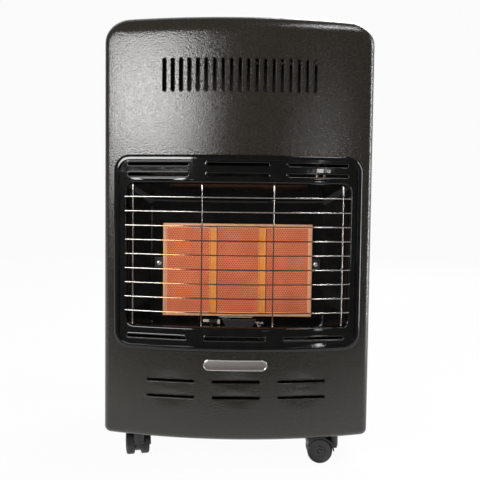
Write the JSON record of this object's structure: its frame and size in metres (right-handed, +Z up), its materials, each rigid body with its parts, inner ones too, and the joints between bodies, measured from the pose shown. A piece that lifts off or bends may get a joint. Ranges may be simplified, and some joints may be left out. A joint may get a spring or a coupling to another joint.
{
  "type": "portable gas cabinet heater",
  "caption": "Upright gas heater cabinet on casters with a bowed front, wire-guarded radiant ceramic burner, top controls and lift-off rear cover.",
  "frame": {"origin": "centre of the footprint, on the floor under the casters", "axes": "+Z up, -Y out of the front, +X to the right seen from the front"},
  "size_m": [0.42, 0.4299, 0.7],
  "materials": {
    "paint": "dark grey-brown hammered powder coat",
    "plain_paint": "plain dark powder coat",
    "enamel": "glossy black vitreous enamel on steel",
    "chrome": "bright plated wire and trim",
    "satin_steel": "satin stainless steel",
    "galvanised": "zinc coated sheet",
    "heat_steel": "heat coloured aluminised steel",
    "plaque_ceramic": "perforated burner ceramic",
    "gold_strip": "heat coloured steel strip",
    "mica": "pale mica and cement board",
    "brass": "turned brass",
    "cast_alloy": "die-cast alloy",
    "copper_pipe": "bare copper pipe",
    "porcelain": "white glazed insulator",
    "black_plastic": "moulded black plastic",
    "red_plastic": "moulded red plastic"
  },
  "bodies": {
    "cabinet": {"front_panel": "paint", "cabinet_wrap": "paint", "base_tray": "plain_paint", "upper_rear_panel": "plain_paint", "heat_shield": "galvanised", "firing_frame": "enamel", "wire_guard": "chrome", "burner_chamber": "enamel", "burner_housing": "heat_steel", "badge_plate": "chrome", "badge_field": "enamel", "plaque_left": "plaque_ceramic", "plaque_middle": "plaque_ceramic", "plaque_right": "plaque_ceramic", "joint_strip_left": "gold_strip", "joint_strip_right": "gold_strip", "burner_screw_left": "satin_steel", "burner_screw_right": "satin_steel", "cover_hook_left": "galvanised", "cover_hook_right": "galvanised", "side_grip_left": "black_plastic", "side_grip_right": "black_plastic", "pilot_bracket": "galvanised", "pilot_burner": "satin_steel", "ignition_electrode": "porcelain", "thermocouple_probe": "satin_steel", "pilot_shield": "mica", "gas_rail": "galvanised", "burner_pipe": "copper_pipe", "pilot_pipe": "copper_pipe", "control_tray": "black_plastic", "gas_valve": "cast_alloy", "igniter_body": "black_plastic", "hose_nozzle": "brass", "caster_socket_front_left": "black_plastic", "caster_socket_front_right": "black_plastic", "caster_socket_rear_left": "black_plastic", "caster_socket_rear_right": "black_plastic"},
    "cover": {"rear_cover": "plain_paint"},
    "spindle": {"valve_spindle": "brass"},
    "knob": {"control_knob": "black_plastic"},
    "button": {"igniter_button": "red_plastic"},
    "swivel_front_left": {"caster_hood_front_left": "black_plastic", "caster_axle_front_left": "satin_steel"},
    "wheel_a_front_left": {"caster_wheel_a_front_left": "black_plastic"},
    "wheel_b_front_left": {"caster_wheel_b_front_left": "black_plastic"},
    "swivel_front_right": {"caster_hood_front_right": "black_plastic", "caster_axle_front_right": "satin_steel"},
    "wheel_a_front_right": {"caster_wheel_a_front_right": "black_plastic"},
    "wheel_b_front_right": {"caster_wheel_b_front_right": "black_plastic"},
    "swivel_rear_left": {"caster_hood_rear_left": "black_plastic", "caster_axle_rear_left": "satin_steel"},
    "wheel_a_rear_left": {"caster_wheel_a_rear_left": "black_plastic"},
    "wheel_b_rear_left": {"caster_wheel_b_rear_left": "black_plastic"},
    "swivel_rear_right": {"caster_hood_rear_right": "black_plastic", "caster_axle_rear_right": "satin_steel"},
    "wheel_a_rear_right": {"caster_wheel_a_rear_right": "black_plastic"},
    "wheel_b_rear_right": {"caster_wheel_b_rear_right": "black_plastic"}
  },
  "joints": [
    {"name": "cover_lift", "type": "slide", "parent": "cabinet", "child": "cover", "axis": [0, 0, 1], "range_m": [0, 0.66]},
    {"name": "knob_push", "type": "slide", "parent": "cabinet", "child": "spindle", "axis": [0, 0, -1], "range_m": [0, 0.0045], "stiffness_N_per_m": 1500, "springref_m": -0.001},
    {"name": "knob_turn", "type": "hinge", "parent": "spindle", "child": "knob", "pos_m": [0.13, 0.085, 0.69], "axis": [0, 0, 1], "range_deg": [0, 270]},
    {"name": "igniter_press", "type": "slide", "parent": "cabinet", "child": "button", "axis": [0, 0, -1], "range_m": [0, 0.006], "stiffness_N_per_m": 1200, "springref_m": -0.001},
    {"name": "swivel_front_left", "type": "hinge", "parent": "cabinet", "child": "swivel_front_left", "pos_m": [-0.1565, -0.157, 0.06], "axis": [0, 0, 1], "continuous": true},
    {"name": "roll_a_front_left", "type": "hinge", "parent": "swivel_front_left", "child": "wheel_a_front_left", "pos_m": [-0.16182, -0.13565, 0.02], "axis": [-0.9703, -0.2419, 0], "continuous": true},
    {"name": "roll_b_front_left", "type": "hinge", "parent": "swivel_front_left", "child": "wheel_b_front_left", "pos_m": [-0.16182, -0.13565, 0.02], "axis": [-0.9703, -0.2419, 0], "continuous": true},
    {"name": "swivel_front_right", "type": "hinge", "parent": "cabinet", "child": "swivel_front_right", "pos_m": [0.1575, -0.157, 0.06], "axis": [0, 0, 1], "continuous": true},
    {"name": "roll_a_front_right", "type": "hinge", "parent": "swivel_front_right", "child": "wheel_a_front_right", "pos_m": [0.1355, -0.157, 0.02], "axis": [0, -1, 0], "continuous": true},
    {"name": "roll_b_front_right", "type": "hinge", "parent": "swivel_front_right", "child": "wheel_b_front_right", "pos_m": [0.1355, -0.157, 0.02], "axis": [0, -1, 0], "continuous": true},
    {"name": "swivel_rear_left", "type": "hinge", "parent": "cabinet", "child": "swivel_rear_left", "pos_m": [-0.15, 0.168, 0.06], "axis": [0, 0, 1], "continuous": true},
    {"name": "roll_a_rear_left", "type": "hinge", "parent": "swivel_rear_left", "child": "wheel_a_rear_left", "pos_m": [-0.14618, 0.18967, 0.02], "axis": [-0.9848, 0.1736, 0], "continuous": true},
    {"name": "roll_b_rear_left", "type": "hinge", "parent": "swivel_rear_left", "child": "wheel_b_rear_left", "pos_m": [-0.14618, 0.18967, 0.02], "axis": [-0.9848, 0.1736, 0], "continuous": true},
    {"name": "swivel_rear_right", "type": "hinge", "parent": "cabinet", "child": "swivel_rear_right", "pos_m": [0.15, 0.168, 0.06], "axis": [0, 0, 1], "continuous": true},
    {"name": "roll_a_rear_right", "type": "hinge", "parent": "swivel_rear_right", "child": "wheel_a_rear_right", "pos_m": [0.161, 0.18705, 0.02], "axis": [-0.866, 0.5, 0], "continuous": true},
    {"name": "roll_b_rear_right", "type": "hinge", "parent": "swivel_rear_right", "child": "wheel_b_rear_right", "pos_m": [0.161, 0.18705, 0.02], "axis": [-0.866, 0.5, 0], "continuous": true}
  ]
}
